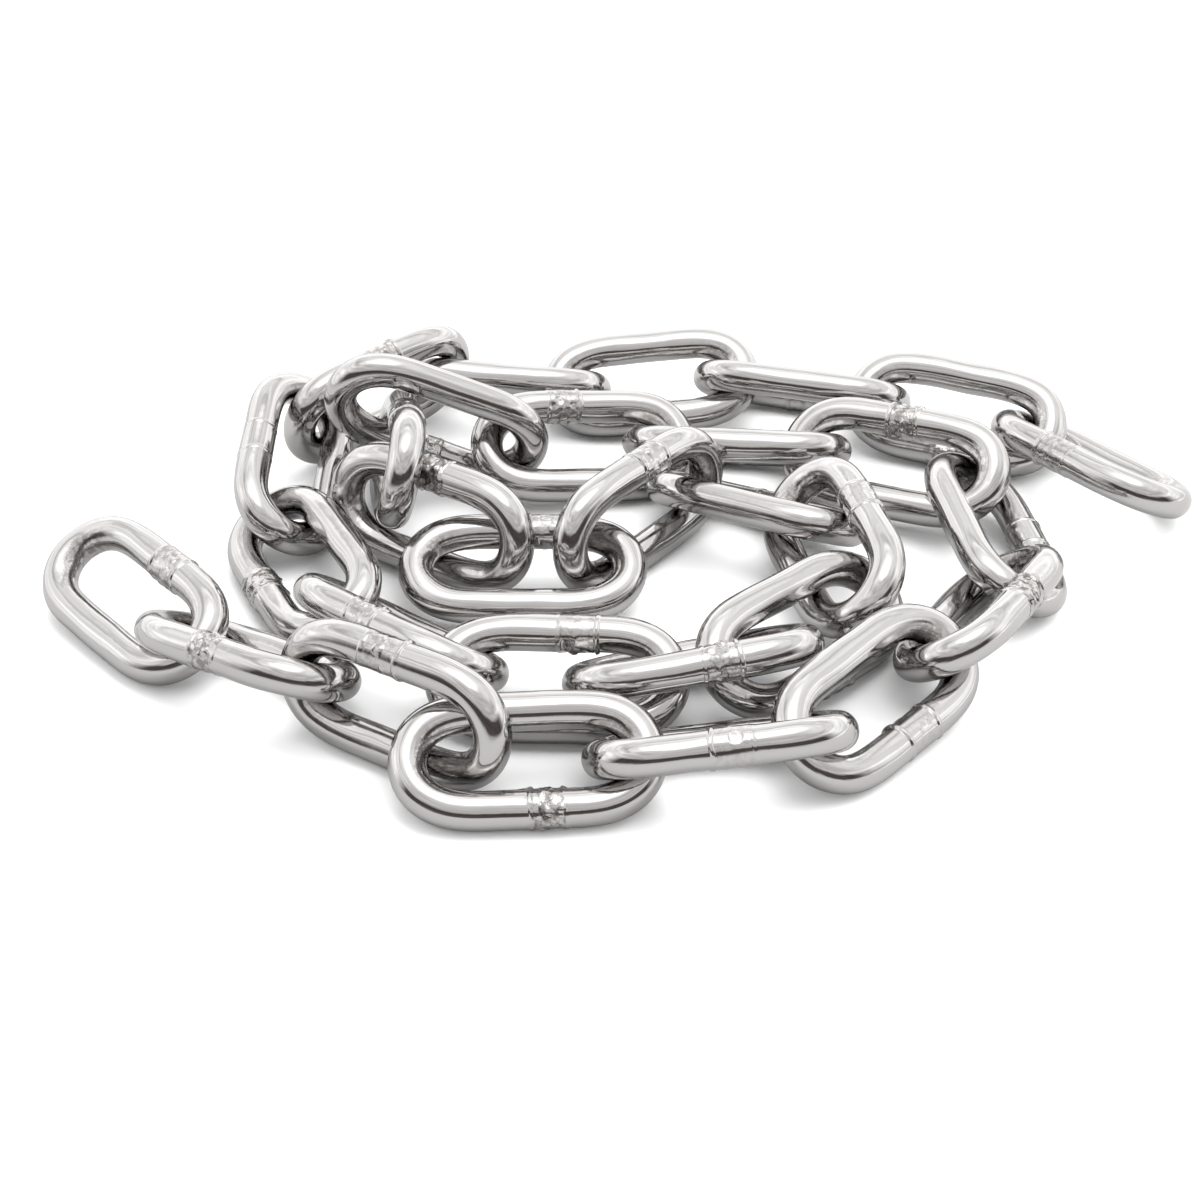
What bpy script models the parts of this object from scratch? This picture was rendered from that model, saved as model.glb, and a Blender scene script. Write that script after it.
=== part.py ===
"""Heap of steel chain: thirty welded links of 7 mm round wire in one loose run.

Each link is one oval ring of round wire. The run starts at the link that lies alone on the left,
goes along the front, turns back at the right, folds twice across the middle and over itself,
goes round the left side and along the back, and ends at the link that lies alone on the right.

Lengths are metres. The heap lies on the plane z = 0 and its longest side runs along X.
"""
import math

import bpy
import numpy as np
from mathutils import Matrix

# Driving dimensions
MM = 0.001
WIRE = 7.0 * MM
INNER_LENGTH = 34.5 * MM
INNER_WIDTH = 11.0 * MM
GAP = 0.35 * MM

# The middle line of the wire
BEND_RADIUS = (INNER_WIDTH + WIRE) / 2
HALF_STRAIGHT = (INNER_LENGTH + WIRE) / 2 - BEND_RADIUS
REACH = INNER_LENGTH + 2 * WIRE + GAP

# How finely the solids are faceted. The odd number of steps round a bend and the half step that
# turns the wire's section put a flat in the middle of each bend, square to the link's length.
BEND_SEGMENTS = 7
SECTION_RESOLUTION = 3
SECTION_SIDES = 2 * SECTION_RESOLUTION + 4
SECTION_TURN = math.pi / SECTION_SIDES

# How a link leans about its own length, in degrees: 0 would lie flat, 90 would stand on edge.
# Neighbours cross, so a link on the ground lies with its left side up or its right side up.
LEFT_UP = 30
RIGHT_UP = -30
HALF_UP = 50
UPRIGHT = 75

# A link that lies on the ground has its middle this high, in mm
LYING_HEIGHT = 9


def place(right, away, heading, lean, up=LYING_HEIGHT, rise=0):
    """Where one link lies: its middle in mm, then its heading, lean and rise in degrees."""
    return right, away, up, heading, rise, lean


# The run, link by link. Middles, headings and leans were judged by eye against the photograph,
# with a level grid of known size drawn over it. The heights and rises were judged in the same way
# and from what each link lies on. Seating then eases them until a small gap is left at each touch.
LAY = (
    place(-89, -10, -46, 25),
    place(-66, -30, -28, -20, up=10),
    place(-35, -50, -23, UPRIGHT, up=12),
    place(-14, -61, 5, LEFT_UP),
    place(22, -56, 4, RIGHT_UP),
    place(49, -44, 45, 27, up=10),
    place(70, -15, 48, -17),
    place(79, 12, 97, 22),
    place(61, 33, 155, RIGHT_UP, up=11),
    place(28, 42, 175, LEFT_UP),
    place(-4, 43, -175, RIGHT_UP),
    place(-34, 38, 180, UPRIGHT, up=18, rise=15),
    place(-40, 27, -80, UPRIGHT, up=16, rise=25),
    place(-34, 10, -30, UPRIGHT, up=13),
    place(-15, -3, 0, 20),
    place(8, 15, 55, 83, up=13),
    place(31, 18, -33, RIGHT_UP, up=11, rise=15),
    place(45, 0, -78, 40, up=13, rise=5),
    place(37, -24, -140, RIGHT_UP, up=8),
    place(17, -32, -171, 25, up=8),
    place(-6, -37, 180, RIGHT_UP, up=8),
    place(-36, -25, 145, LEFT_UP, up=8),
    place(-59, 0, 120, RIGHT_UP, up=8),
    place(-65, 32, 85, LEFT_UP, up=12, rise=10),
    place(-48, 59, 40, -70, up=13),
    place(-20, 73, -11, RIGHT_UP),
    place(11, 71, 4, 18),
    place(45, 68, -15, RIGHT_UP),
    place(78, 57, -15, 24),
    place(103, 38, -50, -20, up=8),
)

# Links that others hold up, which seating doesn't let down to the ground
RAISED = (3, 9, 12, 14, 15, 18)

# Seating: how often the links are eased, at how many points of the wire, and how a link resists
# being turned. LOOSE is the play left in a hook before the two links are drawn together.
SEAT_ROUNDS = 120
SEAT_SAMPLES = 48
SWING_RADIUS = 14 * MM
LOOSE = 0.3 * MM

# Turns and moves below these are taken as none
TINY_TURN = 1e-12
TINY_MOVE = 1e-9

# The share of a wanted move that one round makes: apart, together, and down to the ground
PUSH_SHARE = 0.4
PULL_SHARE = 0.15
DROP_SHARE = 0.3


def oval(count):
    """Points evenly along the wire's middle line: two straight runs joined by two half circles."""
    straight = 2 * HALF_STRAIGHT
    bend = math.pi * BEND_RADIUS
    along = (np.arange(count) + 0.5) / count * 2 * (straight + bend)
    half = along % (straight + bend)
    side = np.where(along < straight + bend, 1.0, -1.0)
    angle = np.clip(half - straight, 0, None) / BEND_RADIUS
    x = np.where(half < straight, half - HALF_STRAIGHT, HALF_STRAIGHT + BEND_RADIUS * np.sin(angle))
    y = np.where(half < straight, BEND_RADIUS, BEND_RADIUS * np.cos(angle))
    return np.stack([x * side, y * side, np.zeros(count)], axis=1)


def turn_about(axis_angle):
    """The 3 x 3 turn about an axis, by an angle that is the axis vector's length."""
    angle = np.linalg.norm(axis_angle)
    if angle < TINY_TURN:
        return np.eye(3)
    x, y, z = axis_angle / angle
    cross = np.array([[0, -z, y], [z, 0, -x], [-y, x, 0]])
    return np.eye(3) + math.sin(angle) * cross + (1 - math.cos(angle)) * cross @ cross


class Link:
    """One link while the heap is laid: where its middle is and how it is turned."""

    ring = oval(SEAT_SAMPLES)

    def __init__(self, right, away, up, heading, rise, lean):
        self.middle = np.array([right, away, up]) * MM
        self.turn = turn_about(np.array([0, 0, math.radians(heading)]))
        self.turn = self.turn @ turn_about(np.array([0, -math.radians(rise), 0]))
        self.turn = self.turn @ turn_about(np.array([math.radians(lean), 0, 0]))

    def wire(self):
        """The middle line of the wire where the link lies."""
        return self.ring @ self.turn.T + self.middle

    def push(self, point, shift):
        """Move the link so that its wire at point moves by shift, partly by turning it."""
        length = np.linalg.norm(shift)
        if length < TINY_MOVE:
            return
        swing = np.cross(point - self.middle, shift / length)
        share = 1 + (swing @ swing) / SWING_RADIUS ** 2
        self.middle = self.middle + shift / share
        self.turn = turn_about(swing / SWING_RADIUS ** 2 * length / share) @ self.turn


def spacing(points, ring):
    """From each side of a closed line to each point: the shortest vector, and its length."""
    side = np.roll(ring, -1, axis=0) - ring
    start = points[:, None, :] - ring[None, :, :]
    part = np.clip((start * side).sum(-1) / (side * side).sum(-1), 0, 1)
    vector = start - part[..., None] * side
    return vector, np.sqrt((vector * vector).sum(-1))


def ease_apart(first, second, hooked):
    """Push two links apart where their wires come nearer than a wire and a gap.

    A link that hangs in its neighbour and has slid away from it is pulled back to touch it.
    """
    if np.linalg.norm(first.middle - second.middle) > REACH:
        return
    wire = first.wire()
    vector, distance = spacing(wire, second.wire())
    need = WIRE + GAP
    if distance.min() > need:
        if hooked and distance.min() > need + LOOSE:
            i, j = np.unravel_index(distance.argmin(), distance.shape)
            pull = vector[i, j] * (1 - need / distance[i, j]) * PULL_SHARE
            first.push(wire[i], -pull)
            second.push(wire[i] - vector[i, j], pull)
        return
    quarter = SEAT_SAMPLES // 4
    for start in range(0, SEAT_SAMPLES, quarter):
        part = distance[start:start + quarter]
        i, j = np.unravel_index(part.argmin(), part.shape)
        i += start
        if distance[i, j] < need:
            shift = vector[i, j] * (need / distance[i, j] - 1) * PUSH_SHARE
            first.push(wire[i], shift)
            second.push(wire[i] - vector[i, j], -shift)


def settle(link, grounded):
    """Lift a link out of the ground, or let it down to it where it rests there."""
    wire = link.wire()
    low = wire[:, 2].argmin()
    sink = WIRE / 2 - wire[low, 2]
    if sink > 0:
        link.push(wire[low], np.array([0, 0, sink]))
    elif grounded:
        link.push(wire[low], np.array([0, 0, sink * DROP_SHARE]))


def lay_heap():
    """Lay the links as listed, then ease them until no two wires touch."""
    links = [Link(*row) for row in LAY]
    for _ in range(SEAT_ROUNDS):
        for i, first in enumerate(links):
            for j in range(i + 1, len(links)):
                ease_apart(first, links[j], j == i + 1)
        for number, link in enumerate(links, start=1):
            settle(link, number not in RAISED)
    return links


def heap_middle(links):
    """The middle of the heap's outline seen from above."""
    wires = np.concatenate([link.wire() for link in links])
    middle = (wires.min(axis=0) + wires.max(axis=0)) / 2
    return np.array([middle[0], middle[1], 0])


def bend_points(centre, sign):
    """The corners of one half circle of the link, from one straight side to the other."""
    for step in range(BEND_SEGMENTS + 1):
        angle = math.pi * step / BEND_SEGMENTS
        yield centre + sign * BEND_RADIUS * math.sin(angle), sign * BEND_RADIUS * math.cos(angle)


def link_shape():
    """One link as a closed curve with round wire, lying flat in XY with its length along X."""
    corners = list(bend_points(HALF_STRAIGHT, 1)) + list(bend_points(-HALF_STRAIGHT, -1))
    shape = bpy.data.curves.new("link_wire", "CURVE")
    shape.dimensions = "3D"
    shape.twist_mode = "Z_UP"
    shape.bevel_depth = WIRE / 2
    shape.bevel_resolution = SECTION_RESOLUTION
    spline = shape.splines.new("POLY")
    spline.points.add(len(corners) - 1)
    for point, (x, y) in zip(spline.points, corners):
        point.co = (x, y, 0, 1)
        point.tilt = SECTION_TURN
    spline.use_cyclic_u = True
    spline.use_smooth = True
    return shape


def stainless_steel():
    """Bright tumbled stainless steel."""
    material = bpy.data.materials.new("stainless_steel")
    material.use_nodes = True
    shader = material.node_tree.nodes["Principled BSDF"]
    shader.inputs["Base Color"].default_value = (0.62, 0.61, 0.60, 1)
    shader.inputs["Metallic"].default_value = 1.0
    shader.inputs["Roughness"].default_value = 0.22
    return material


def build():
    for old in list(bpy.data.objects):
        bpy.data.objects.remove(old, do_unlink=True)
    heap = bpy.data.collections.new("heap_of_steel_chain")
    bpy.context.scene.collection.children.link(heap)
    shape = link_shape()
    shape.materials.append(stainless_steel())
    links = lay_heap()
    origin = heap_middle(links)
    for number, link in enumerate(links, start=1):
        piece = bpy.data.objects.new(f"link_{number:02d}", shape)
        turn = Matrix(link.turn.tolist()).to_4x4()
        piece.matrix_world = Matrix.Translation(link.middle - origin) @ turn
        heap.objects.link(piece)


build()
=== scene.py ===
# %% [markdown]
# # A heap of steel chain
#
# The object is about a metre of welded chain, thirty oval links of 7 mm stainless wire, dropped in
# a low open coil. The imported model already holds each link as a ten-sided bar that is bent in flat
# steps. This script reads where those links lie and dresses each of them in the wire that the
# photograph shows: round, slightly uneven, with a rough weld across one side.

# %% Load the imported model
import math

import bpy
import numpy as np
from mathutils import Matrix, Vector


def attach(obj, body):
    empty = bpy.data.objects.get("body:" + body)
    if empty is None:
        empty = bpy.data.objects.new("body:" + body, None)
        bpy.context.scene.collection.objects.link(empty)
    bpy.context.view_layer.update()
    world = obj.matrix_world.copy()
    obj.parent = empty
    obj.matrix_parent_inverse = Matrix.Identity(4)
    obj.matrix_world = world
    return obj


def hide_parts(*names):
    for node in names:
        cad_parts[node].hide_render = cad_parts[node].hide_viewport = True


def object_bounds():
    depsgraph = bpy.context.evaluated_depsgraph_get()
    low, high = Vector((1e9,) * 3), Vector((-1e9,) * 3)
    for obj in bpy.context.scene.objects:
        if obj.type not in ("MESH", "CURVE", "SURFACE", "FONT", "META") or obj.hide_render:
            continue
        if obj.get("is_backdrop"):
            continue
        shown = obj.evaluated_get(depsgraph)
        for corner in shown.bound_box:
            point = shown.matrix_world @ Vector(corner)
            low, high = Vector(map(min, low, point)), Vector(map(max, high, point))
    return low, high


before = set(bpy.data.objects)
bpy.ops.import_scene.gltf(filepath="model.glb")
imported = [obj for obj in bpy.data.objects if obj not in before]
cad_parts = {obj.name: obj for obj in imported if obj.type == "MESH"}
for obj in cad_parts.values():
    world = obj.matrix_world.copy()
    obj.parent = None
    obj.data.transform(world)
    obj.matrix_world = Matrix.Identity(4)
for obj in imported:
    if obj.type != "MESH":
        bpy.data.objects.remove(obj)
cad_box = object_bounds()
LINK_COUNT = len(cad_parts)
print("links in the frame:", LINK_COUNT)

# %% [markdown]
# ## The wire and the oval
#
# A chain link starts as a straight piece of drawn wire. A machine bends it round a former until
# its ends meet, and welds them. So a plain link is described by the wire's diameter and by the
# free length and width of its eye. The run of its wire follows from those three.

# %% Driving dimensions, in metres
MM = 0.001
WIRE = 7 * MM
INNER_LENGTH = 34.5 * MM
INNER_WIDTH = 11 * MM
BEND_RADIUS = (INNER_WIDTH + WIRE) / 2
STRAIGHT = INNER_LENGTH + WIRE - 2 * BEND_RADIUS
BEND = math.pi * BEND_RADIUS
WIRE_LENGTH = 2 * (STRAIGHT + BEND)
print("wire in one link:", round(WIRE_LENGTH / MM, 1), "mm")

# %% [markdown]
# ## Where each link lies
#
# The links could be placed by a list of angles, but the frame already knows them. The surface of a
# link spreads most along its length, less across its width and least through the wire, so the
# three axes of that spread are the axes of the link. This needs no number from outside the frame,
# and it stays true if the heap is laid again.


# %% Read a link's middle and axes from its solid
def surface_spread(mesh):
    """Middle and spread of a mesh's surface, both weighted by area.

    Over a triangle with corners a, b and c, the mean of the product of two coordinates is the sum
    of the corners' own products and of the product for a + b + c, all divided by twelve.
    """
    points = np.empty(3 * len(mesh.vertices))
    mesh.vertices.foreach_get("co", points)
    mesh.calc_loop_triangles()
    corners = np.empty(3 * len(mesh.loop_triangles), dtype=np.int32)
    mesh.loop_triangles.foreach_get("vertices", corners)
    a, b, c = points.reshape(-1, 3)[corners.reshape(-1, 3)].transpose(1, 0, 2)
    area = np.linalg.norm(np.cross(b - a, c - a), axis=1)
    weight = area / area.sum()
    total = a + b + c
    middle = weight @ total / 3
    products = sum(np.einsum("t,ti,tj->ij", weight / 12, p, p) for p in (a, b, c, total))
    return middle, products - np.outer(middle, middle)


def lie_of(number):
    """Middle, length, width and normal of a link. Its length points to the next link of the run."""
    middle, spread = surface_spread(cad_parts[f"link_{number:02d}"].data)
    axes = np.linalg.eigh(spread)[1]
    length = axes[:, 2]
    normal = axes[:, 0] * np.sign(axes[2, 0])
    other = number + 1 if number < LINK_COUNT else number - 1
    onward = surface_spread(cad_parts[f"link_{other:02d}"].data)[0] - middle
    length = length * np.sign(onward @ length) * (1 if other > number else -1)
    return middle, length, np.cross(normal, length), normal


lies = {number: lie_of(number) for number in range(1, LINK_COUNT + 1)}
for number in (1, LINK_COUNT):
    print("link", number, "has its middle at", np.round(lies[number][0] / MM, 1), "mm")

# %% [markdown]
# ## The photograph's view
#
# The camera looks down on the heap at about 35 degrees from close by, through a short telephoto
# lens, so the front of the heap is drawn a little larger than the back. It comes early in the
# script because everything after it is judged through it.

# %% Camera
VIEW_PITCH = math.radians(35.3)
VIEW_DISTANCE = 424 * MM
VIEW_AIM = Vector((-6.6, -6.3, 0)) * MM
VIEW_LENS = 64.6

camera_data = bpy.data.cameras.new("photo_view")
camera_data.lens = VIEW_LENS
camera_data.sensor_width = 36
camera_data.clip_start = 0.01
camera = bpy.data.objects.new("photo_view", camera_data)
towards_camera = Vector((0, -math.cos(VIEW_PITCH), math.sin(VIEW_PITCH)))
camera.location = VIEW_AIM + VIEW_DISTANCE * towards_camera
camera.rotation_euler = (math.pi / 2 - VIEW_PITCH, 0, 0)
bpy.context.scene.collection.objects.link(camera)
bpy.context.scene.camera = camera
print("camera at", [round(value / MM) for value in camera.location], "mm")

# %% [markdown]
# ## The line along the wire
#
# The middle of the wire runs along a stadium: two straight sides and two half circles. A surface
# round it could be a bevelled curve, but the weld needs its own bumps, so the surface is a grid
# that is worked out point by point: one way along the wire, the other way round it. A stadium goes
# from straight to bend at once. Bent wire doesn't, and bright metal shows the difference, so each
# bend starts and ends softly, over a stretch of twice EASE.


# %% The stadium as a function of the distance along the wire
EASE = 8.5 * MM
EASE_STEPS = 17


def stadium(along):
    """Point and outward direction on the link's middle line, at each distance along it.

    Half of the line is a straight side followed by a half circle. The other half is the same
    half turned by 180 degrees about the link's middle.
    """
    half_way = STRAIGHT + BEND
    half = np.mod(along, half_way)
    side = np.where(np.mod(along, 2 * half_way) < half_way, 1.0, -1.0)
    angle = np.clip(half - STRAIGHT, 0, None) / BEND_RADIUS
    reach = np.minimum(half, STRAIGHT) - STRAIGHT / 2
    outward = np.stack([np.sin(angle), np.cos(angle)], axis=-1) * side[..., None]
    point = np.stack([reach * side, np.zeros_like(reach)], axis=-1) + BEND_RADIUS * outward
    return point, outward


def bent_wire(along):
    """The stadium with eased ends of its bends, as wire springs back when it is bent.

    It is the mean of the stadium over a short stretch, with weights that fall off to both sides.
    In the middle of a bend that mean lies nearer to the bend's centre, by EASE squared over twelve
    radii, so the whole is stretched until it is as long as the stadium.
    """
    offsets = np.linspace(-EASE, EASE, EASE_STEPS)
    weights = 1 - np.abs(offsets) / EASE
    mean = 0
    mean_outward = 0
    for offset, weight in zip(offsets, weights / weights.sum()):
        point, outward = stadium(along + offset)
        mean = mean + weight * point
        mean_outward = mean_outward + weight * outward
    reach = BEND_RADIUS + STRAIGHT / 2
    stretch = reach / (reach - EASE ** 2 / 12 / BEND_RADIUS)
    length = np.linalg.norm(mean_outward, axis=-1, keepdims=True)
    return mean * np.array([stretch, 1]), mean_outward / length


def weld_start(side, shift):
    """Distance along the middle line at which the weld sits. Side is 1 for the left bar, else -1."""
    if side > 0:
        return STRAIGHT / 2 + shift
    return STRAIGHT + BEND + STRAIGHT / 2 - shift


print("outer length of a link:", round((INNER_LENGTH + 2 * WIRE) / MM, 1), "mm")

# %% [markdown]
# ## Which side the weld is on
#
# The weld lies on one of the two straight bars, rarely in its middle. The photograph shows about
# half of the welds clearly. Where a link hides its own, the side is a guess. The shift is along the
# run, in millimetres. The third value says how messy the weld looks: near 0 it is a clean band
# between two rings, at 1 it is all beads. The last one names the side of the wire on which that
# mess lies. Round the wire, 0 degrees faces away from the link's eye, 90 up and 180 into the eye.

# %% Weld side, shift, mess and where the mess lies, link by link
LEFT = 1
RIGHT = -1

# Sides of the wire, in degrees round it
OUTER = 45
TOP = 80
INNER = 135
UNDER = -45

WELDS = {
    1: (LEFT, 2.5, 0.5, INNER), 2: (RIGHT, 0, 0.8, OUTER), 3: (LEFT, -2, 0.4, OUTER),
    4: (RIGHT, 3, 0.8, OUTER), 5: (RIGHT, 1, 0.15, OUTER), 6: (RIGHT, 1, 0.1, OUTER),
    7: (RIGHT, 0.5, 1.0, OUTER), 8: (RIGHT, 1, 0, TOP), 9: (RIGHT, 0, 0.9, INNER),
    10: (RIGHT, 0, 0.4, INNER), 11: (RIGHT, 4, 0.5, INNER), 12: (RIGHT, 0, 0.5, INNER),
    13: (LEFT, 5, 0.3, OUTER), 14: (LEFT, 0, 1.0, OUTER), 15: (LEFT, 4, 0.4, INNER),
    16: (LEFT, 3, 0.3, OUTER), 17: (LEFT, 0, 0.4, INNER), 18: (LEFT, -3, 0.2, TOP),
    19: (LEFT, 0, 0.4, OUTER), 20: (LEFT, -4, 0.6, OUTER), 21: (RIGHT, -3.5, 0.3, INNER),
    22: (LEFT, 1, 0.4, TOP), 23: (LEFT, 0, 1.0, OUTER), 24: (LEFT, -1, 0, TOP),
    25: (RIGHT, 0, 0.5, UNDER), 26: (LEFT, 0, 0.4, INNER), 27: (RIGHT, 0, 0.3, OUTER),
    28: (LEFT, 0, 0.5, INNER), 29: (RIGHT, 0, 0.6, OUTER), 30: (RIGHT, -2, 0.4, OUTER),
}
print("welds on the left bar:", sum(weld[0] == LEFT for weld in WELDS.values()))

# %% [markdown]
# ## Unevenness
#
# Drawn wire is round to a few hundredths of a millimetre, and a tumbled link has soft dents. Both
# are what makes the edge of a highlight wander, which tells the eye that this is real metal. Noise
# could come from a texture, but here it has to close up round the wire and along the link. A sum
# of waves does: each wave fits a whole number of times into both ways of the grid.


# %% Waves that close on themselves
def waves(rng, along_turns, round_turns, count, turn, angle):
    """A sum of cosines, each a whole number of waves along the link and round the wire.

    The wave numbers are drawn up to along_turns and round_turns. The sum is scaled so that its
    spread is about one.
    """
    total = np.zeros(np.broadcast(turn, angle).shape)
    for _ in range(count):
        lengthways = rng.integers(1, along_turns + 1)
        sideways = rng.integers(-round_turns, round_turns + 1)
        total += np.cos(lengthways * turn + sideways * angle + rng.uniform(0, 2 * math.pi))
    return total / math.sqrt(count / 2)


print("a wave of 60 turns along the link is", round(WIRE_LENGTH / 60 / MM, 2), "mm long")

# %% [markdown]
# ## The weld
#
# The two cut ends of the wire are pressed together while a current melts them. The machine's jaws
# leave a crisp collar at each end of a short band. In between, metal is squeezed out as a ragged
# ridge round the joint and as a seam along the wire on the inner side, and beads of it cling to
# one side of the band. Tumbling then shines most of it. It is mostly less than half a millimetre
# high, but it is what makes the chain look like chain, so it is real geometry. No two welds come
# out the same.

# %% Sizes of the weld
BAND_LENGTH = 7.4 * MM
BAND_SHORTENING = 2.0 * MM
BAND_LENGTH_SPREAD = 0.3 * MM
BAND_HEIGHT = (-0.05 * MM, 0.12 * MM)
COLLAR_HEIGHT = (0.06 * MM, 0.3 * MM)
COLLAR_HALF = 0.36 * MM
COLLAR_EDGE = 0.15 * MM
COLLAR_WAVER = 0.15 * MM
RIDGE_HEIGHT = (0.12 * MM, 0.34 * MM)
RIDGE_WIDTH = 0.3 * MM
RIDGE_PLACE = 1.2 * MM
RIDGE_WAVER = 0.4 * MM
SEAM_HEIGHT = 0.3 * MM
SEAM_LENGTH = 5.5 * MM
SEAM_WIDTH = 0.45 * MM
SEAM_WAVER = 0.2 * MM
SEAM_TURN_SPREAD = 0.25
LEAST_SEAM = 0.3
BEAD_COUNT = 22
BEAD_SIZE = (0.4 * MM, 1.3 * MM)
BEAD_HEIGHT = (-0.3 * MM, 0.3 * MM)
BEAD_REACH = 1.5 * MM
BEAD_SPREAD = math.radians(55)

# How much dark scale is left: on a clean band, on a messy one, and along the seam
BAND_STAIN = 0.02
MESS_STAIN = 0.78
SEAM_STAIN = 0.8
SEAM_STAIN_WIDTH = 1.1 * MM


def hill(distance, width):
    """A smooth hill of height one: the bell curve of distance over width."""
    return np.exp(-0.5 * (distance / width) ** 2)


def ramp(value):
    """Zero below 0, one above 1, and the smooth cubic step between them."""
    value = np.clip(value, 0, 1)
    return value * value * (3 - 2 * value)


def dome(distance, size):
    """A round bead of height one, steep at its rim."""
    return np.sqrt(np.clip(1 - (distance / size) ** 2, 0, None))


def angle_from(angle, middle):
    """How far round the wire an angle is from another, from minus half a turn to half a turn."""
    return np.mod(angle - middle + math.pi, 2 * math.pi) - math.pi


print("beads and pits on the messiest weld:", BEAD_COUNT)


# %% Collars, ridge, seam and beads of a weld
def collar_pair(rng, along, angle, half):
    """Two crisp collars where the jaws gripped: a narrow flat step that goes round the wire."""
    height = np.zeros(along.shape)
    for end in (-1, 1):
        strength = rng.uniform(*COLLAR_HEIGHT) * (1 + 0.4 * waves(rng, 1, 2, 3, 0 * angle, angle))
        waver = COLLAR_WAVER * waves(rng, 1, 3, 4, 0 * angle, angle)
        beside = np.abs(end * along - half - waver)
        height += strength * ramp((COLLAR_HALF - beside) / COLLAR_EDGE + 0.5)
    return height


def ragged_ridge(rng, along, angle, turn):
    """The flash round the joint: a narrow hill that wavers, and that breaks off in places."""
    place = rng.uniform(-RIDGE_PLACE, RIDGE_PLACE)
    place = place + RIDGE_WAVER * waves(rng, 1, 3, 4, 0 * angle, angle)
    ragged = np.clip(0.5 + 0.8 * waves(rng, 2, 9, 8, turn, angle), 0, 1.8)
    return rng.uniform(*RIDGE_HEIGHT) * ragged * hill(along - place, RIDGE_WIDTH)


def inner_seam(rng, along, angle, turn):
    """The flash along the wire on the side of the eye, where the jaws left a gap."""
    beside = angle_from(angle, math.pi + rng.normal(0, SEAM_TURN_SPREAD)) * WIRE / 2
    ragged = np.clip(0.6 + 0.7 * waves(rng, 60, 3, 12, turn, angle), 0, 2)
    fade = ramp(1.6 - np.abs(along) / SEAM_LENGTH * 1.6)
    place = SEAM_WAVER * waves(rng, 30, 0, 5, turn, angle)
    return SEAM_HEIGHT * ragged * fade * hill(beside - place, SEAM_WIDTH)


def beads(rng, along, angle, mess, facing):
    """Beads and pits on the messy side of the wire, close together near the joint."""
    height = np.zeros(along.shape)
    for _ in range(round(BEAD_COUNT * mess)):
        size = rng.uniform(*BEAD_SIZE)
        around = angle_from(angle, facing + rng.normal(0, BEAD_SPREAD)) * WIRE / 2
        distance = np.hypot(along - rng.normal(0, BEAD_REACH), around)
        height += rng.uniform(*BEAD_HEIGHT) * dome(distance, size)
    return height


print("seam on the side of the eye:", round(2 * SEAM_LENGTH / MM, 1), "mm long")


# %% The weld as a height over the wire
def weld_relief(rng, along, angle, turn, mess, facing):
    """Height of the weld over the round wire, and how much dark scale is left on it.

    along is measured from the weld's middle. The band between the collars is a little raised or a
    little sunk, and shorter on a messy weld. The ridge and the beads stand on the side at the angle
    facing, and mess is their share. Scale always stays along the seam on the side of the eye.
    """
    half = (BAND_LENGTH - mess * BAND_SHORTENING + rng.normal(0, BAND_LENGTH_SPREAD)) / 2
    cover = ramp((half - np.abs(along)) / COLLAR_HALF + 0.5)
    messy = mess * (0.1 + 0.9 * ramp(1.1 + np.cos(angle - facing))) * cover
    band = rng.uniform(*BAND_HEIGHT) * (1 + 0.4 * waves(rng, 1, 2, 3, 0 * turn, angle))
    height = band * cover + collar_pair(rng, along, angle, half)
    height += (LEAST_SEAM + mess) * inner_seam(rng, along, angle, turn)
    height += messy * ragged_ridge(rng, along, angle, turn)
    height += beads(rng, along, angle, mess, facing)
    seam = hill(angle_from(angle, math.pi) * WIRE / 2, SEAM_STAIN_WIDTH)
    seam = seam * ramp(1.3 - np.abs(along) / SEAM_LENGTH)
    return height, np.maximum(BAND_STAIN * cover + MESS_STAIN * messy, SEAM_STAIN * seam)


print("weld band:", round(BAND_LENGTH / MM, 1), "mm long, less on a messy weld")

# %% [markdown]
# ## One link as a grid
#
# Round the wire the points of the grid are evenly spaced. Along it the rows lie close together at
# the weld, where the shape is fine, and wider apart on the plain wire. Both ways close on
# themselves, so the surface has no seam and no pole. Two small faults are put into the wire itself:
# a slow wobble of its radius, and a bend that is pressed a little flat.

# %% The grid's own measures
ROUND_POINTS = 84
WELD_ROWS = 84
PLAIN_ROWS = 112
WELD_ZONE = 10.5 * MM
WOBBLE = 0.035 * MM
BEND_FLATTENING = 0.07 * MM
FLOOR_CLEARANCE = 0.01 * MM

weld_rows = np.linspace(-WELD_ZONE / 2, WELD_ZONE / 2, WELD_ROWS, endpoint=False)
plain_rows = np.linspace(WELD_ZONE / 2, WIRE_LENGTH - WELD_ZONE / 2, PLAIN_ROWS, endpoint=False)
ROWS = np.concatenate([weld_rows, plain_rows])
ANGLES = np.arange(ROUND_POINTS) / ROUND_POINTS * 2 * math.pi
print("grid of one link:", len(ROWS), "by", len(ANGLES))


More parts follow.
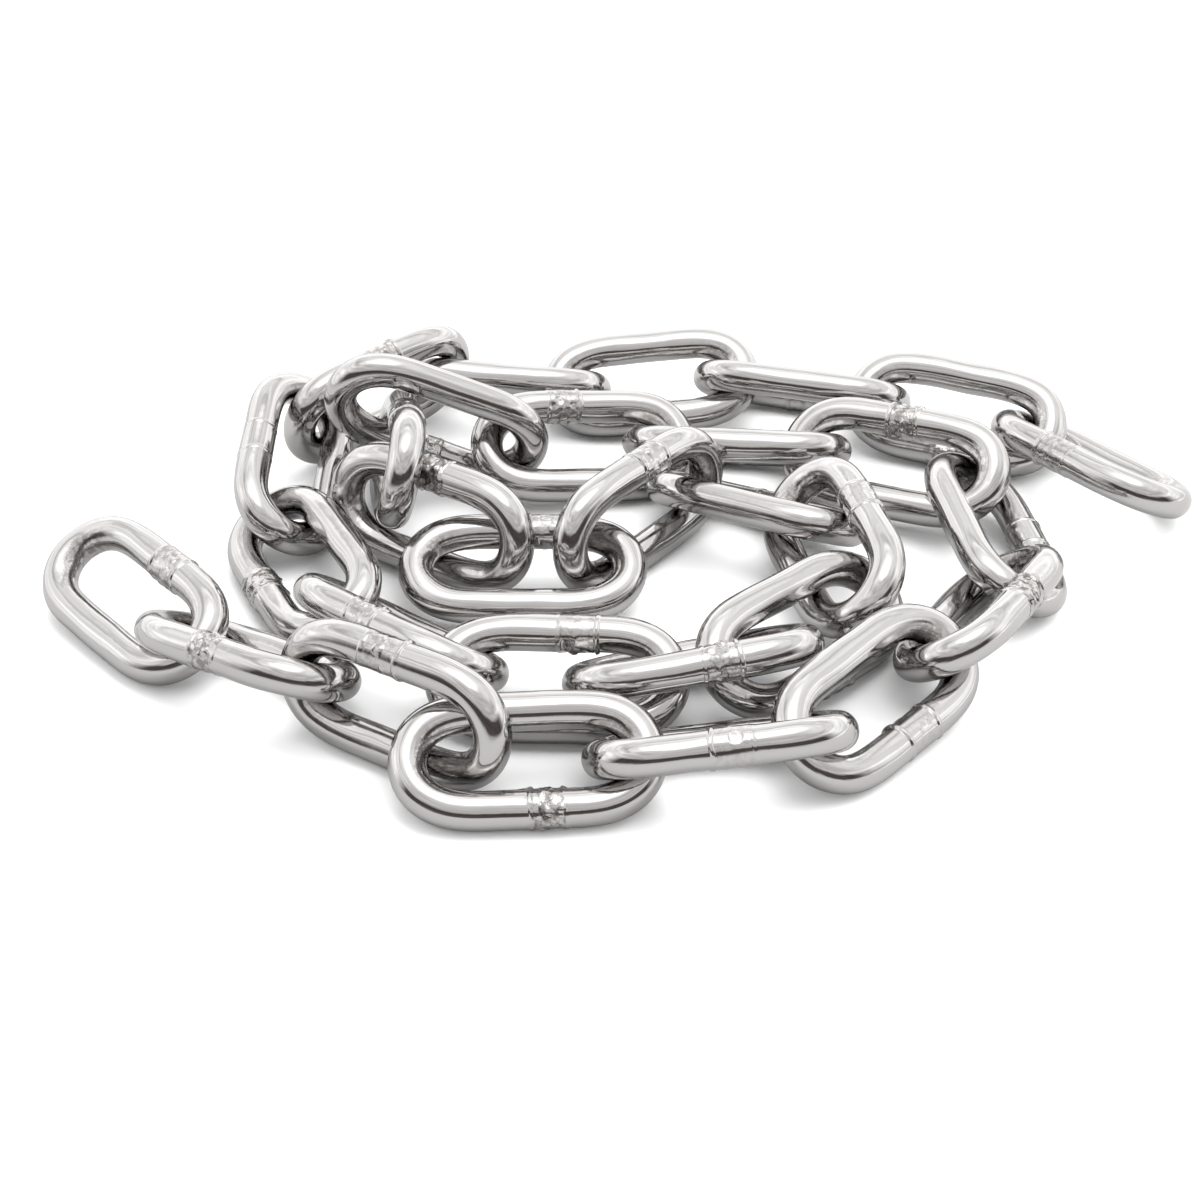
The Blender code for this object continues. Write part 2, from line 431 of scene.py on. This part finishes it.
# %% Points of one link
def link_surface(number):
    """Points of a link's surface in the row frame, with the masks that its finish needs.

    A point is the middle line's point, plus the radius times the outward direction turned about
    the wire by the angle. The radius is half the wire, plus a slow wobble, less the flattening of
    a bend, plus the weld. No point is let below the ground.
    """
    rng = np.random.default_rng(number)
    side, shift, mess, facing = WELDS[number]
    along = ROWS[:, None] + 0 * ANGLES[None, :]
    angle = 0 * ROWS[:, None] + ANGLES[None, :]
    turn = 2 * math.pi * along / WIRE_LENGTH
    line, outward = bent_wire(along + weld_start(side, shift * MM))
    bent = np.abs(outward[..., 0])
    signed = np.mod(along + WIRE_LENGTH / 2, WIRE_LENGTH) - WIRE_LENGTH / 2
    relief, rough = weld_relief(rng, signed, angle, turn, mess, math.radians(facing))
    radius = WIRE / 2 + WOBBLE * (waves(rng, 9, 3, 8, turn, angle) - 1)
    radius = radius - BEND_FLATTENING * bent * (1 + np.cos(2 * angle)) / 2 + relief
    middle, length, width, normal = lies[number]
    flat = line + radius[..., None] * np.cos(angle)[..., None] * outward
    points = middle + flat @ np.stack([length, width])
    points = points + (radius * np.sin(angle))[..., None] * normal
    points[..., 2] = np.maximum(points[..., 2], FLOOR_CLEARANCE)
    inner = bent * ramp(-1.2 * np.cos(angle))
    drawn = np.stack([np.cos(angle) * WIRE / 2, np.sin(angle) * WIRE / 2, along], axis=-1)
    return points, {"weld": rough, "crown": inner}, drawn


first_link = link_surface(1)[0].reshape(-1, 3)
print("link 1 reaches up to", round(first_link[:, 2].max() / MM, 1), "mm")


# %% [markdown]
# ## From points to a mesh
#
# foreach_set hands whole arrays to the mesh at once, which is quick and keeps the code short. Each
# point also carries its place on the straight wire before it was bent, for the marks that the
# drawing die left, and two masks: how much scale its weld has, and how far inside a bend it is.


# %% Closed grid to mesh
def ring_mesh(name, points, masks, drawn):
    """A mesh from a grid of points that closes on itself both ways, with its attributes."""
    rows, columns = points.shape[:2]
    index = np.arange(rows * columns).reshape(rows, columns)
    ahead = np.roll(index, -1, axis=0)
    corners = [index, np.roll(index, -1, axis=1), np.roll(ahead, -1, axis=1), ahead]
    faces = np.stack(corners, axis=-1)
    mesh = bpy.data.meshes.new(name)
    mesh.from_pydata(points.reshape(-1, 3), [], faces.reshape(-1, 4))
    mesh.polygons.foreach_set("use_smooth", np.ones(rows * columns, dtype=bool))
    for mask, values in masks.items():
        layer = mesh.attributes.new(mask, "FLOAT", "POINT")
        layer.data.foreach_set("value", values.astype(np.float32).ravel())
    layer = mesh.attributes.new("drawn", "FLOAT_VECTOR", "POINT")
    layer.data.foreach_set("vector", drawn.astype(np.float32).ravel())
    mesh.update()
    return mesh


def add_piece(name, mesh, material):
    """A finished piece: its object at the origin, with its place in its mesh."""
    mesh.materials.append(material)
    piece = bpy.data.objects.new(name, mesh)
    bpy.context.scene.collection.objects.link(piece)
    return piece


print("triangles in one link:", 2 * len(ROWS) * len(ANGLES))

# %% [markdown]
# ## Nodes and colours
#
# One function adds a node, sets its values and connects its inputs. Another turns a hex colour,
# as a paint card or a picture gives it, into the linear values that the shader works with.


# %% Helpers for materials
def linear(hex_colour):
    """An sRGB hex colour as linear red, green, blue and alpha."""
    channels = [int(hex_colour[i:i + 2], 16) / 255 for i in (1, 3, 5)]
    return [c / 12.92 if c <= 0.04045 else ((c + 0.055) / 1.055) ** 2.4 for c in channels] + [1.0]


def add_node(tree, kind, settings=None, **inputs):
    """A node with its settings, and each input either set to a value or joined to a socket.

    An input goes by its name, with _ for a space, or by its number after a _.
    """
    node = tree.nodes.new(kind)
    for name, value in (settings or {}).items():
        setattr(node, name, value)
    for name, value in inputs.items():
        key = int(name[1:]) if name[1:].isdigit() else name.replace("_", " ")
        socket = node.inputs[key]
        if isinstance(value, bpy.types.NodeSocket):
            tree.links.new(value, socket)
        else:
            socket.default_value = value
    return node


def new_material(name):
    """A new material and its empty node tree."""
    material = bpy.data.materials.new(name)
    material.use_nodes = True
    material.node_tree.nodes.clear()
    return material, material.node_tree


print("middle grey in linear light:", round(linear("#808080")[0], 3))

# %% [markdown]
# ## Tumbled stainless steel
#
# The wire is cold-drawn austenitic stainless steel. After welding, the chain is tumbled with
# ceramic chips until it shines. That leaves a bright mirror that is a little soft, with fine lines
# along the wire from the drawing die and soft dents from the tumbling. The chips don't reach into
# the hollows of a weld and the inside of a bend. There the dark scale from the heat and the old
# skin of the wire stay in patches, brownish grey and a little matt.

# %% Steel
# A die's lines are a few hundredths of a millimetre apart. They are drawn coarser, so as to show.
DIE_LINE = 0.45 * MM
DIE_LINE_LENGTH = 18 * MM
DIE_LINE_DEPTH = 0.03 * MM
DENT = 4 * MM
DENT_DEPTH = 0.12 * MM
SCALE = 1.2 * MM
SCALE_DEPTH = 0.14 * MM
CROWN_STAIN = 0.6

# Patches of scale follow a noise: there is none below the first value and all above the second
SCALE_EDGE = (0.47, 0.58)

BRIGHT_STEEL = "#c4c2c1"
HEAT_SCALE = "#6b625b"
BRIGHT_ROUGHNESS = 0.05
DIE_LINE_ROUGHNESS = 0.08
SCALE_ROUGHNESS = 0.3

MULTIPLY = {"operation": "MULTIPLY"}
MULTIPLY_ADD = {"operation": "MULTIPLY_ADD"}


def stainless_marks(tree):
    """Noise patterns of the surface: lines of the drawing die, tumbling dents and scale."""
    drawn = add_node(tree, "ShaderNodeAttribute", {"attribute_name": "drawn"}).outputs["Vector"]
    place = add_node(tree, "ShaderNodeTexCoord").outputs["Object"]
    die_scale = (1 / DIE_LINE, 1 / DIE_LINE, 1 / DIE_LINE_LENGTH)
    stretched = add_node(tree, "ShaderNodeMapping", Vector=drawn, Scale=die_scale).outputs["Vector"]
    lines = add_node(tree, "ShaderNodeTexNoise", Vector=stretched, Scale=1.0, Detail=3.0)
    dents = add_node(tree, "ShaderNodeTexNoise", Vector=place, Scale=1 / DENT, Detail=2.0)
    scale = add_node(tree, "ShaderNodeTexNoise", Vector=place, Scale=1 / SCALE, Detail=4.0)
    scale.inputs["Roughness"].default_value = 0.6
    return lines.outputs["Fac"], dents.outputs["Fac"], scale.outputs["Fac"]


def uneven_normal(tree, lines, dents, scale, marked):
    """The normal after three bumps: fine die lines, soft dents, and scale where marked."""
    fine = add_node(tree, "ShaderNodeBump", Height=lines, Strength=0.5, Distance=DIE_LINE_DEPTH)
    dented = add_node(tree, "ShaderNodeBump", Height=dents, Strength=0.35, Distance=DENT_DEPTH)
    tree.links.new(fine.outputs[0], dented.inputs["Normal"])
    rough = add_node(tree, "ShaderNodeBump", Height=scale, Strength=marked, Distance=SCALE_DEPTH)
    tree.links.new(dented.outputs[0], rough.inputs["Normal"])
    return rough.outputs[0]


def tumbled_stainless_steel():
    """Bright drawn and tumbled wire, with patches of scale in the welds and inside the bends."""
    material, tree = new_material("tumbled_stainless_steel")
    weld = add_node(tree, "ShaderNodeAttribute", {"attribute_name": "weld"}).outputs["Fac"]
    crown = add_node(tree, "ShaderNodeAttribute", {"attribute_name": "crown"}).outputs["Fac"]
    lines, dents, scale = stainless_marks(tree)

    marked = add_node(tree, "ShaderNodeMath", MULTIPLY_ADD, _0=crown, _1=CROWN_STAIN, _2=weld)
    bare, covered = SCALE_EDGE
    patches = add_node(tree, "ShaderNodeMapRange", Value=scale, _1=bare, _2=covered).outputs[0]
    dull = add_node(tree, "ShaderNodeMath", MULTIPLY, _0=marked.outputs[0], _1=patches).outputs[0]

    rubbed = add_node(tree, "ShaderNodeMath", MULTIPLY_ADD, _0=lines)
    rubbed.inputs[1].default_value = DIE_LINE_ROUGHNESS
    rubbed.inputs[2].default_value = BRIGHT_ROUGHNESS
    roughness = add_node(tree, "ShaderNodeMath", MULTIPLY_ADD, _0=dull, _1=SCALE_ROUGHNESS)
    tree.links.new(rubbed.outputs[0], roughness.inputs[2])

    colour = add_node(tree, "ShaderNodeMix", {"data_type": "RGBA"}, _0=dull)
    colour.inputs[6].default_value = linear(BRIGHT_STEEL)
    colour.inputs[7].default_value = linear(HEAT_SCALE)

    shader = add_node(tree, "ShaderNodeBsdfPrincipled", Metallic=1.0)
    normal = uneven_normal(tree, lines, dents, scale, marked.outputs[0])
    tree.links.new(colour.outputs[2], shader.inputs["Base Color"])
    tree.links.new(roughness.outputs[0], shader.inputs["Roughness"])
    tree.links.new(normal, shader.inputs["Normal"])
    add_node(tree, "ShaderNodeOutputMaterial", Surface=shader.outputs[0])
    return material


steel = tumbled_stainless_steel()
print("material:", steel.name)

# %% [markdown]
# ## The thirty links
#
# Each link replaces its plain solid of the imported model, rides on the one body and is dressed in
# the tumbled stainless steel.

# %% Make the links
for number in range(1, LINK_COUNT + 1):
    points, masks, drawn = link_surface(number)
    name = f"chain_link_{number:02d}"
    piece = add_piece(name, ring_mesh(name, points, masks, drawn), steel)
    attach(piece, "root")
    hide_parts(f"link_{number:02d}")
print("links made:", LINK_COUNT)

# %% [markdown]
# ## Table and light
#
# The photograph is a product picture on a white sweep, so bright that the table burns out to the
# white of the page, and only the soft shadows under the chain show that it is there. Four wide
# panels light the table: one overhead, one behind and one on each side. They could light the metal
# too, but bright metal shows nothing of its own, only what it mirrors, and it would mirror them as
# hard white bars. So the metal doesn't see the panels, and the next step gives it a room to mirror.

# %% Table
TABLE_HALF = 1.5
TABLE_WHITE = "#f6f6f6"
# The grey that the metal mirrors instead of the lit white is painted shade, not the card's own
# colour
TABLE_PAINTED_SHADE_IN_MIRROR = "#aeaeae"


def white_table():
    """Matt white card. Glossy rays see it in a darker grey: a painted shade in the metal's
    reflection of the table.
    """
    material, tree = new_material("white_card")
    # Rays from the metal get the darker grey: painted shade in the mirrored table
    ray = add_node(tree, "ShaderNodeLightPath")
    colour = add_node(tree, "ShaderNodeMix", {"data_type": "RGBA"}, _0=ray.outputs["Is Glossy Ray"])
    colour.inputs[6].default_value = linear(TABLE_WHITE)
    colour.inputs[7].default_value = linear(TABLE_PAINTED_SHADE_IN_MIRROR)
    shader = add_node(tree, "ShaderNodeBsdfDiffuse", Color=colour.outputs[2])
    add_node(tree, "ShaderNodeOutputMaterial", Surface=shader.outputs[0])
    return material


table_mesh = bpy.data.meshes.new("table")
corners = [(x * TABLE_HALF, y * TABLE_HALF, 0) for x, y in ((-1, -1), (1, -1), (1, 1), (-1, 1))]
table_mesh.from_pydata(corners, [], [(0, 1, 2, 3)])
table = add_piece("table", table_mesh, white_table())
table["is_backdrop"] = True
print("table:", 2 * TABLE_HALF, "m wide")


# %% Panels of light
def panel(name, place, width, height, brightness):
    """A rectangular lamp that faces the heap, and that neither the camera nor the metal sees.

    Brightness is that of its face, so its power is brightness times area times four.
    """
    data = bpy.data.lights.new(name, "AREA")
    data.shape = "RECTANGLE"
    data.size = width
    data.size_y = height
    data.energy = brightness * width * height * 4
    lamp = bpy.data.objects.new(name, data)
    lamp.location = place
    lamp.rotation_euler = Vector(place).to_track_quat("Z", "Y").to_euler()
    lamp.visible_camera = False
    lamp.visible_glossy = False
    bpy.context.scene.collection.objects.link(lamp)


panel("overhead", (0.15, 0.15, 0.8), 1.0, 0.75, 3.1)
panel("back", (0, 1.0, 0.45), 0.9, 0.5, 1.2)
panel("left", (-0.9, 0.25, 0.45), 0.8, 0.5, 0.9)
panel("right", (0.9, 0.25, 0.45), 0.8, 0.5, 3.2)
print("lamps:", len(bpy.data.lights))


# %% [markdown]
# ## The room that the metal mirrors
#
# Two scales of grey describe that room, one for the half of it in front of the heap and one for
# the half behind it. A stop on a scale stands at the height of the direction in which the metal
# looks: 0 is level with the heap and 1 is straight up. The dark stops low in front are the unlit
# side from which the picture is taken, and they draw the crisp dark lines along the wire. A real
# studio is never as even as a scale, so flat streaks of noise lie over both.

# %% Greys of the room
AMBIENT_BRIGHTNESS = 1.25
ROOM_BRIGHTNESS = 2.4
STREAK_SHAPE = (1.5, 1.5, 11)
STREAK_DARKEST = 0.62
STREAK_LIGHTEST = 1.36
FRONT_ROOM = (
    (0.0, "#9a9999"), (0.06, "#5c5856"), (0.09, "#3b3736"), (0.38, "#363231"), (0.44, "#989796"),
    (0.85, "#acabab"), (0.92, "#bababa"), (0.935, "#eeeeee"), (1.0, "#ffffff"),
)
BACK_ROOM = (
    (0.0, "#cfcfcf"), (0.5, "#d6d6d6"), (0.56, "#c5c5c4"), (0.8, "#bebebd"),
    (0.9, "#d2d2d2"), (0.96, "#f4f4f4"), (1.0, "#ffffff"),
)


def mirrored_greys(tree, direction):
    """The two scales at the height of a direction, blended where it turns from front to back."""
    parts = add_node(tree, "ShaderNodeSeparateXYZ", Vector=direction).outputs
    behind = add_node(tree, "ShaderNodeMapRange", Value=parts["Y"], _1=-0.5, _2=0.0)
    mirrored = add_node(tree, "ShaderNodeMix", {"data_type": "RGBA"}, _0=behind.outputs[0])
    for stops, side in ((FRONT_ROOM, 6), (BACK_ROOM, 7)):
        scale = add_node(tree, "ShaderNodeValToRGB", _0=parts["Z"])
        for place, _ in stops[1:-1]:
            scale.color_ramp.elements.new(place)
        for stop, (_, colour) in zip(scale.color_ramp.elements, stops):
            stop.color = linear(colour)
        tree.links.new(scale.outputs["Color"], mirrored.inputs[side])
    return mirrored.outputs[2]


def streaked_brightness(tree, direction):
    """How bright the room is in a direction: flat streaks of noise about ROOM_BRIGHTNESS."""
    flat = add_node(tree, "ShaderNodeMapping", Vector=direction, Scale=STREAK_SHAPE).outputs[0]
    streaks = add_node(tree, "ShaderNodeTexNoise", Vector=flat, Scale=1.0, Detail=3.0).outputs["Fac"]
    uneven = add_node(tree, "ShaderNodeMapRange", Value=streaks, _1=0.3, _2=0.7)
    uneven.inputs["To Min"].default_value = STREAK_DARKEST
    uneven.inputs["To Max"].default_value = STREAK_LIGHTEST
    scaled = add_node(tree, "ShaderNodeMath", MULTIPLY, _0=uneven.outputs[0], _1=ROOM_BRIGHTNESS)
    return scaled.outputs[0]


print("greys in the room:", len(FRONT_ROOM) + len(BACK_ROOM))


# %% The room
def room():
    """Plain white for the eye and the table. In the metal, a grey room that is dark low in front."""
    world = bpy.data.worlds.new("studio")
    bpy.context.scene.world = world
    world.use_nodes = True
    tree = world.node_tree
    tree.nodes.clear()
    direction = add_node(tree, "ShaderNodeTexCoord").outputs["Generated"]
    greys = mirrored_greys(tree, direction)
    brightness = streaked_brightness(tree, direction)
    ray = add_node(tree, "ShaderNodeLightPath")
    bright = add_node(tree, "ShaderNodeBackground", Color=linear("#ffffff"))
    bright.inputs["Strength"].default_value = AMBIENT_BRIGHTNESS
    grey = add_node(tree, "ShaderNodeBackground", Color=greys, Strength=brightness)
    mixed = add_node(tree, "ShaderNodeMixShader", _0=ray.outputs["Is Glossy Ray"])
    tree.links.new(bright.outputs[0], mixed.inputs[1])
    tree.links.new(grey.outputs[0], mixed.inputs[2])
    add_node(tree, "ShaderNodeOutputWorld", Surface=mixed.outputs[0])


room()
bpy.context.scene.view_settings.view_transform = "Standard"
print("world:", bpy.context.scene.world.name)

# %% [markdown]
# ## The size of the scene
#
# The boxes of the imported model and of the dressed one are written side by side, to show that the
# looks haven't changed the size.

# %% Sizes of the imported and the dressed model
sizes = {"cad": cad_box, "visual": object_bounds()}
sizes = {name: [[float(value) for value in corner] for corner in box] for name, box in sizes.items()}
print(sizes)
